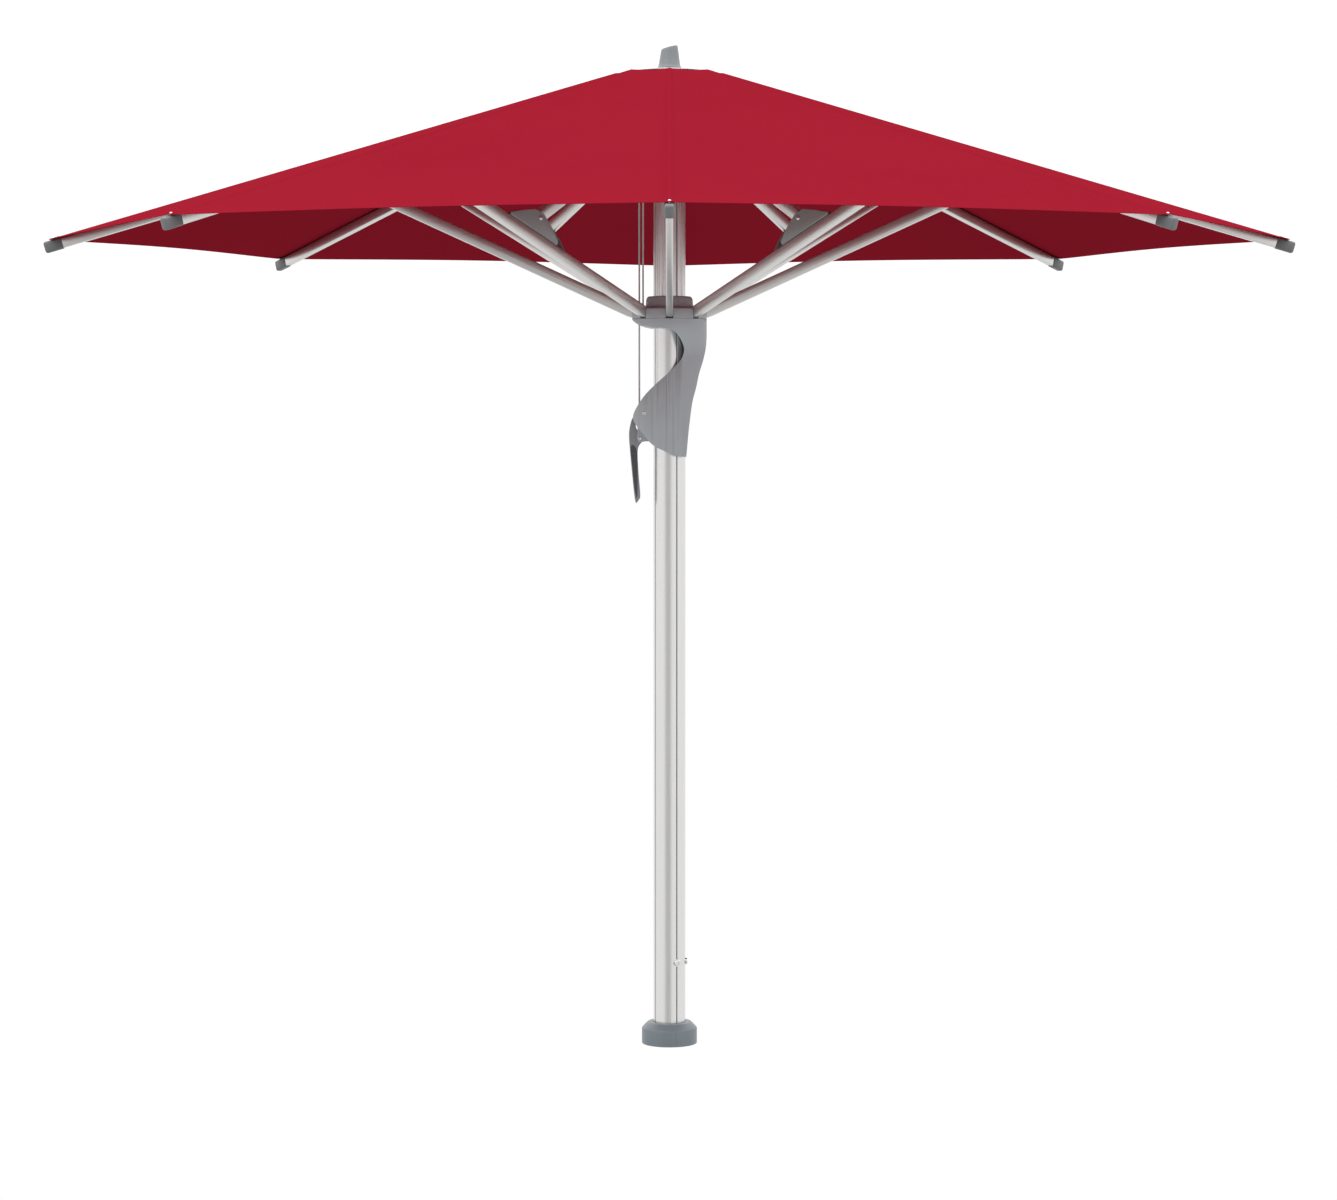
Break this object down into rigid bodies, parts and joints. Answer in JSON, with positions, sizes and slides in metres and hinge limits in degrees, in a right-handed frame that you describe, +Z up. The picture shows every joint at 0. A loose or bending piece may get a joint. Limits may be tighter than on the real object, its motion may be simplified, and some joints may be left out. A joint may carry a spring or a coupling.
{
  "type": "patio umbrella",
  "caption": "Centre-pole patio umbrella with an octagonal fabric canopy, folding ribs and struts, a sliding hub with hand lever, and a round collar base.",
  "frame": {"origin": "on the mast's axis at the underside of the base collar", "axes": "+Z up the mast, one rib towards -Y"},
  "size_m": [3.5092, 3.5092, 2.8096],
  "materials": {
    "canopy_fabric": "woven, matt",
    "arm_aluminium": "satin anodised",
    "mast_aluminium": "satin anodised",
    "bracket_plastic": "moulded",
    "cap_plastic": "moulded",
    "collar_plastic": "satin",
    "housing_plastic": "fine moulded grain",
    "inner_plastic": "moulded",
    "plate_plastic": "moulded",
    "lever_plastic": "moulded",
    "brake_rubber": "matt",
    "rope": "braided",
    "steel": "satin"
  },
  "bodies": {
    "root": {"base_collar": "collar_plastic", "stand_tube": "steel", "mast_tube": "mast_aluminium", "mast_bolt_front": "steel", "mast_bolt_side": "steel", "crown_hub": "inner_plastic", "crown_plate": "plate_plastic", "finial": "housing_plastic", "lift_rope": "rope"},
    "slider": {"slider_hub": "housing_plastic", "glide_bush": "inner_plastic", "slider_housing": "housing_plastic", "housing_screw_upper": "steel", "housing_screw_lower": "steel", "lever_pin": "steel"},
    "brake_shoe": {"brake_shoe": "brake_rubber"},
    "lever": {"lever": "lever_plastic"},
    "upper_runner": {"upper_runner": "housing_plastic"},
    "crown_pulley": {"crown_pulley": "inner_plastic"},
    "strut_front": {"strut_front": "arm_aluminium"},
    "rib_front": {"rib_front": "arm_aluminium", "tip_cap_front": "cap_plastic", "canopy_panel_front": "canopy_fabric"},
    "strut_front_left": {"strut_front_left": "arm_aluminium", "strut_bracket_front_left": "bracket_plastic"},
    "rib_front_left": {"rib_front_left": "arm_aluminium", "tip_cap_front_left": "cap_plastic", "canopy_panel_front_left": "canopy_fabric"},
    "strut_left": {"strut_left": "arm_aluminium"},
    "rib_left": {"rib_left": "arm_aluminium", "tip_cap_left": "cap_plastic", "canopy_panel_left": "canopy_fabric"},
    "strut_back_left": {"strut_back_left": "arm_aluminium", "strut_bracket_back_left": "bracket_plastic"},
    "rib_back_left": {"rib_back_left": "arm_aluminium", "tip_cap_back_left": "cap_plastic", "canopy_panel_back_left": "canopy_fabric"},
    "strut_back": {"strut_back": "arm_aluminium"},
    "rib_back": {"rib_back": "arm_aluminium", "tip_cap_back": "cap_plastic", "canopy_panel_back": "canopy_fabric"},
    "strut_back_right": {"strut_back_right": "arm_aluminium", "strut_bracket_back_right": "bracket_plastic"},
    "rib_back_right": {"rib_back_right": "arm_aluminium", "tip_cap_back_right": "cap_plastic", "canopy_panel_back_right": "canopy_fabric"},
    "strut_right": {"strut_right": "arm_aluminium"},
    "rib_right": {"rib_right": "arm_aluminium", "tip_cap_right": "cap_plastic", "canopy_panel_right": "canopy_fabric"},
    "strut_front_right": {"strut_front_right": "arm_aluminium", "strut_bracket_front_right": "bracket_plastic"},
    "rib_front_right": {"rib_front_right": "arm_aluminium", "tip_cap_front_right": "cap_plastic", "canopy_panel_front_right": "canopy_fabric"},
    "link_front_left": {"link_front_left": "arm_aluminium"},
    "link_back_left": {"link_back_left": "arm_aluminium"},
    "link_back_right": {"link_back_right": "arm_aluminium"},
    "link_front_right": {"link_front_right": "arm_aluminium"}
  },
  "joints": [
    {"name": "slider_travel", "type": "slide", "parent": "root", "child": "slider", "axis": [0, 0, 1], "range_m": [-1.11789, 0], "deforming": ["lift_rope"]},
    {"name": "strut_front_hinge", "type": "hinge", "parent": "slider", "child": "strut_front", "pos_m": [0, -0.093, 2.06], "axis": [-1, 0, 0], "range_deg": [0, 59.92]},
    {"name": "rib_front_hinge", "type": "hinge", "parent": "strut_front", "child": "rib_front", "pos_m": [0, -0.939, 2.447], "axis": [-1, 0, 0], "range_deg": [-128.36, 0], "deforming": ["canopy_panel_front"]},
    {"name": "strut_front_left_hinge", "type": "hinge", "parent": "slider", "child": "strut_front_left", "pos_m": [-0.06576, -0.06576, 2.06], "axis": [-0.7071, 0.7071, 0], "range_deg": [0, 59.92]},
    {"name": "rib_front_left_hinge", "type": "hinge", "parent": "strut_front_left", "child": "rib_front_left", "pos_m": [-0.66397, -0.66397, 2.447], "axis": [-0.7071, 0.7071, 0], "range_deg": [-128.36, 0], "deforming": ["canopy_panel_front_left"]},
    {"name": "strut_left_hinge", "type": "hinge", "parent": "slider", "child": "strut_left", "pos_m": [-0.093, 0, 2.06], "axis": [0, 1, 0], "range_deg": [0, 59.92]},
    {"name": "rib_left_hinge", "type": "hinge", "parent": "strut_left", "child": "rib_left", "pos_m": [-0.939, 0, 2.447], "axis": [0, 1, 0], "range_deg": [-128.36, 0], "deforming": ["canopy_panel_left"]},
    {"name": "strut_back_left_hinge", "type": "hinge", "parent": "slider", "child": "strut_back_left", "pos_m": [-0.06576, 0.06576, 2.06], "axis": [0.7071, 0.7071, 0], "range_deg": [0, 59.92]},
    {"name": "rib_back_left_hinge", "type": "hinge", "parent": "strut_back_left", "child": "rib_back_left", "pos_m": [-0.66397, 0.66397, 2.447], "axis": [0.7071, 0.7071, 0], "range_deg": [-128.36, 0], "deforming": ["canopy_panel_back_left"]},
    {"name": "strut_back_hinge", "type": "hinge", "parent": "slider", "child": "strut_back", "pos_m": [0, 0.093, 2.06], "axis": [1, 0, 0], "range_deg": [0, 59.92]},
    {"name": "rib_back_hinge", "type": "hinge", "parent": "strut_back", "child": "rib_back", "pos_m": [0, 0.939, 2.447], "axis": [1, 0, 0], "range_deg": [-128.36, 0], "deforming": ["canopy_panel_back"]},
    {"name": "strut_back_right_hinge", "type": "hinge", "parent": "slider", "child": "strut_back_right", "pos_m": [0.06576, 0.06576, 2.06], "axis": [0.7071, -0.7071, 0], "range_deg": [0, 59.92]},
    {"name": "rib_back_right_hinge", "type": "hinge", "parent": "strut_back_right", "child": "rib_back_right", "pos_m": [0.66397, 0.66397, 2.447], "axis": [0.7071, -0.7071, 0], "range_deg": [-128.36, 0], "deforming": ["canopy_panel_back_right"]},
    {"name": "strut_right_hinge", "type": "hinge", "parent": "slider", "child": "strut_right", "pos_m": [0.093, 0, 2.06], "axis": [0, -1, 0], "range_deg": [0, 59.92]},
    {"name": "rib_right_hinge", "type": "hinge", "parent": "strut_right", "child": "rib_right", "pos_m": [0.939, 0, 2.447], "axis": [0, -1, 0], "range_deg": [-128.36, 0], "deforming": ["canopy_panel_right"]},
    {"name": "strut_front_right_hinge", "type": "hinge", "parent": "slider", "child": "strut_front_right", "pos_m": [0.06576, -0.06576, 2.06], "axis": [-0.7071, -0.7071, 0], "range_deg": [0, 59.92]},
    {"name": "rib_front_right_hinge", "type": "hinge", "parent": "strut_front_right", "child": "rib_front_right", "pos_m": [0.66397, -0.66397, 2.447], "axis": [-0.7071, -0.7071, 0], "range_deg": [-128.36, 0], "deforming": ["canopy_panel_front_right"]},
    {"name": "link_front_left_hinge", "type": "hinge", "parent": "strut_front_left", "child": "link_front_left", "pos_m": [-0.35638, -0.35638, 2.309], "axis": [-0.7071, 0.7071, 0], "range_deg": [-117.63, 0]},
    {"name": "link_back_left_hinge", "type": "hinge", "parent": "strut_back_left", "child": "link_back_left", "pos_m": [-0.35638, 0.35638, 2.309], "axis": [0.7071, 0.7071, 0], "range_deg": [-117.63, 0]},
    {"name": "link_back_right_hinge", "type": "hinge", "parent": "strut_back_right", "child": "link_back_right", "pos_m": [0.35638, 0.35638, 2.309], "axis": [0.7071, -0.7071, 0], "range_deg": [-117.63, 0]},
    {"name": "link_front_right_hinge", "type": "hinge", "parent": "strut_front_right", "child": "link_front_right", "pos_m": [0.35638, -0.35638, 2.309], "axis": [-0.7071, -0.7071, 0], "range_deg": [-117.63, 0]},
    {"name": "upper_runner_travel", "type": "slide", "parent": "root", "child": "upper_runner", "axis": [0, 0, 1], "range_m": [-0.64536, 0]},
    {"name": "crown_pulley_spin", "type": "hinge", "parent": "root", "child": "crown_pulley", "pos_m": [-0.07899, -0.03272, 2.7], "axis": [-0.9239, -0.3827, 0], "range_deg": [-4576.03, 0]},
    {"name": "lever_hinge", "type": "hinge", "parent": "slider", "child": "lever", "pos_m": [-0.083, 0, 1.712], "axis": [0, 1, 0], "range_deg": [-11, 0], "stiffness_Nm_per_rad": 3},
    {"name": "brake_release", "type": "slide", "parent": "slider", "child": "brake_shoe", "axis": [1, 0, 0], "range_m": [-0.004, 0]}
  ],
  "couplings": [
    {"joint": "strut_front_hinge", "follows": "slider_travel", "rad_per_m": -0.93549},
    {"joint": "rib_front_hinge", "follows": "slider_travel", "rad_per_m": 2.004},
    {"joint": "strut_front_left_hinge", "follows": "slider_travel", "rad_per_m": -0.93549},
    {"joint": "rib_front_left_hinge", "follows": "slider_travel", "rad_per_m": 2.004},
    {"joint": "strut_left_hinge", "follows": "slider_travel", "rad_per_m": -0.93549},
    {"joint": "rib_left_hinge", "follows": "slider_travel", "rad_per_m": 2.004},
    {"joint": "strut_back_left_hinge", "follows": "slider_travel", "rad_per_m": -0.93549},
    {"joint": "rib_back_left_hinge", "follows": "slider_travel", "rad_per_m": 2.004},
    {"joint": "strut_back_hinge", "follows": "slider_travel", "rad_per_m": -0.93549},
    {"joint": "rib_back_hinge", "follows": "slider_travel", "rad_per_m": 2.004},
    {"joint": "strut_back_right_hinge", "follows": "slider_travel", "rad_per_m": -0.93549},
    {"joint": "rib_back_right_hinge", "follows": "slider_travel", "rad_per_m": 2.004},
    {"joint": "strut_right_hinge", "follows": "slider_travel", "rad_per_m": -0.93549},
    {"joint": "rib_right_hinge", "follows": "slider_travel", "rad_per_m": 2.004},
    {"joint": "strut_front_right_hinge", "follows": "slider_travel", "rad_per_m": -0.93549},
    {"joint": "rib_front_right_hinge", "follows": "slider_travel", "rad_per_m": 2.004},
    {"joint": "link_front_left_hinge", "follows": "slider_travel", "rad_per_m": 1.8365},
    {"joint": "link_back_left_hinge", "follows": "slider_travel", "rad_per_m": 1.8365},
    {"joint": "link_back_right_hinge", "follows": "slider_travel", "rad_per_m": 1.8365},
    {"joint": "link_front_right_hinge", "follows": "slider_travel", "rad_per_m": 1.8365},
    {"joint": "upper_runner_travel", "follows": "slider_travel", "ratio": 0.5773},
    {"joint": "crown_pulley_spin", "follows": "slider_travel", "rad_per_m": 71.429},
    {"joint": "brake_release", "follows": "lever_hinge", "m_per_rad": 0.020835}
  ]
}
